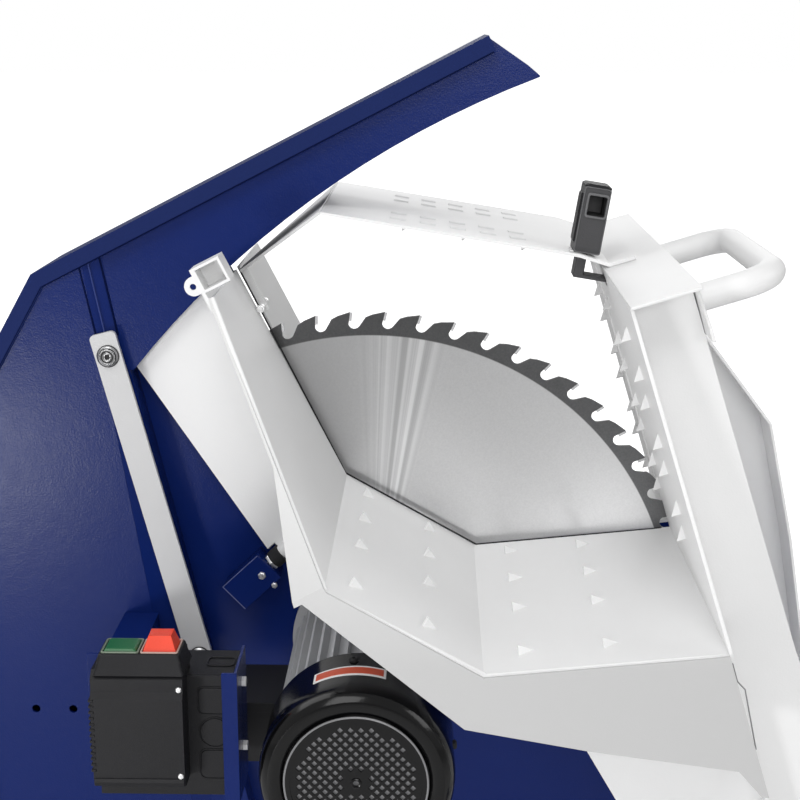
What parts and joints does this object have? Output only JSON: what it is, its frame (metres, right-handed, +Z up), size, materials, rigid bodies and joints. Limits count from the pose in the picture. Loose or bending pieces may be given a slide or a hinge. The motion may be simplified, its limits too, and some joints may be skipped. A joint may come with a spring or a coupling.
{
  "type": "swing log saw",
  "caption": "Electric circular saw for firewood: a swinging trough with handle carries a log into a large guarded blade on a fixed steel frame.",
  "frame": {"origin": "on the floor, midway between the four floor anchor holes", "axes": "+X to the right as the operator faces the machine, +Y away from the operator along the blade shaft, +Z up"},
  "size_m": [1.0211, 0.762, 1.281],
  "materials": {
    "blue_paint": "satin navy blue powder coat with a fine orange peel",
    "white_paint": "satin white powder coat",
    "bright_steel": "zinc plated and turned steel",
    "blade_steel": "ground steel plate with a dark heat-treated ring at the teeth",
    "carbide": "ground carbide",
    "cast_aluminium": "die-cast aluminium, painted grey",
    "black_paint": "gloss black enamel",
    "charcoal_plastic": "fine textured moulding",
    "grey_plastic": "moulded polyamide",
    "black_plastic": "moulded polyamide",
    "green_plastic": "translucent push button",
    "red_plastic": "translucent push button",
    "tyre_rubber": "solid rubber tyre",
    "black_rubber": "moulded rubber",
    "copper_winding": "varnished winding and core",
    "rotor_steel": "laminated core",
    "bronze": "sintered bronze"
  },
  "bodies": {
    "frame": {"guard_front_plate": "blue_paint", "guard_rear_plate": "blue_paint", "guard_rim": "blue_paint", "rail_front": "blue_paint", "rail_rear": "blue_paint", "rail_end_caps": "black_plastic", "crossbar_left": "blue_paint", "crossbar_middle": "blue_paint", "crossbar_right": "blue_paint", "pivot_post_front": "blue_paint", "pivot_post_rear": "blue_paint", "floor_feet": "blue_paint", "axle_brackets": "blue_paint", "wheel_axle": "bright_steel", "axle_collars": "bright_steel", "support_bar": "white_paint", "support_bar_bolts": "bright_steel", "buffer_bracket": "blue_paint", "buffer_bolt": "bright_steel", "rubber_buffer": "black_rubber", "switch_bracket": "blue_paint", "switch_box": "charcoal_plastic", "switch_cover": "charcoal_plastic", "switch_screws": "bright_steel", "terminal_box": "charcoal_plastic", "motor_housing": "cast_aluminium", "motor_stator": "copper_winding", "motor_drive_shield": "cast_aluminium", "motor_fan_shield": "cast_aluminium", "motor_bearings": "bright_steel", "fan_cover": "black_paint", "motor_bolts": "bright_steel", "pivot_shaft": "bright_steel"},
    "blade_rotor": {"motor_shaft": "bright_steel", "rotor_core": "rotor_steel", "cooling_fan": "black_plastic", "inner_clamp_flange": "bright_steel", "outer_clamp_flange": "bright_steel", "arbor_nut": "bright_steel", "saw_blade": "blade_steel", "carbide_tips": "carbide"},
    "cradle": {"trough_near": "white_paint", "trough_far": "white_paint", "trough_apron": "white_paint", "post_front": "white_paint", "side_plate_rear": "white_paint", "post_cap": "white_paint", "handle": "white_paint", "hold_down_plate": "white_paint", "hold_down_hinge": "bright_steel", "sector_panel": "white_paint", "pivot_tube": "white_paint", "pivot_bushes": "bronze"},
    "latch": {"latch": "grey_plastic"},
    "start_button": {"start_button": "green_plastic"},
    "stop_button": {"stop_button": "red_plastic"},
    "wheel_front": {"wheel_front_hub": "grey_plastic", "wheel_front_tyre": "tyre_rubber"},
    "wheel_rear": {"wheel_rear_hub": "grey_plastic", "wheel_rear_tyre": "tyre_rubber"}
  },
  "joints": [
    {"name": "blade_spin", "type": "hinge", "parent": "frame", "child": "blade_rotor", "pos_m": [-0.065, 0.045, 0.65], "axis": [0, 1, 0], "continuous": true},
    {"name": "cradle_swing", "type": "hinge", "parent": "frame", "child": "cradle", "pos_m": [0.435, 0.045, 0.35], "axis": [0, 1, 0], "range_deg": [0, 28]},
    {"name": "latch_slide", "type": "slide", "parent": "cradle", "child": "latch", "axis": [-0.9873, 0, 0.1586], "range_m": [0, 0.006], "stiffness_N_per_m": 300, "springref_m": -0.002},
    {"name": "start_press", "type": "slide", "parent": "frame", "child": "start_button", "axis": [0, 0, -1], "range_m": [0, 0.003], "stiffness_N_per_m": 400, "springref_m": -0.001},
    {"name": "stop_press", "type": "slide", "parent": "frame", "child": "stop_button", "axis": [0, 0, -1], "range_m": [0, 0.003], "stiffness_N_per_m": 400, "springref_m": -0.001},
    {"name": "wheel_front_spin", "type": "hinge", "parent": "frame", "child": "wheel_front", "pos_m": [-0.435, -0.347, 0.091], "axis": [0, 1, 0], "continuous": true},
    {"name": "wheel_rear_spin", "type": "hinge", "parent": "frame", "child": "wheel_rear", "pos_m": [-0.435, 0.347, 0.091], "axis": [0, 1, 0], "continuous": true}
  ]
}
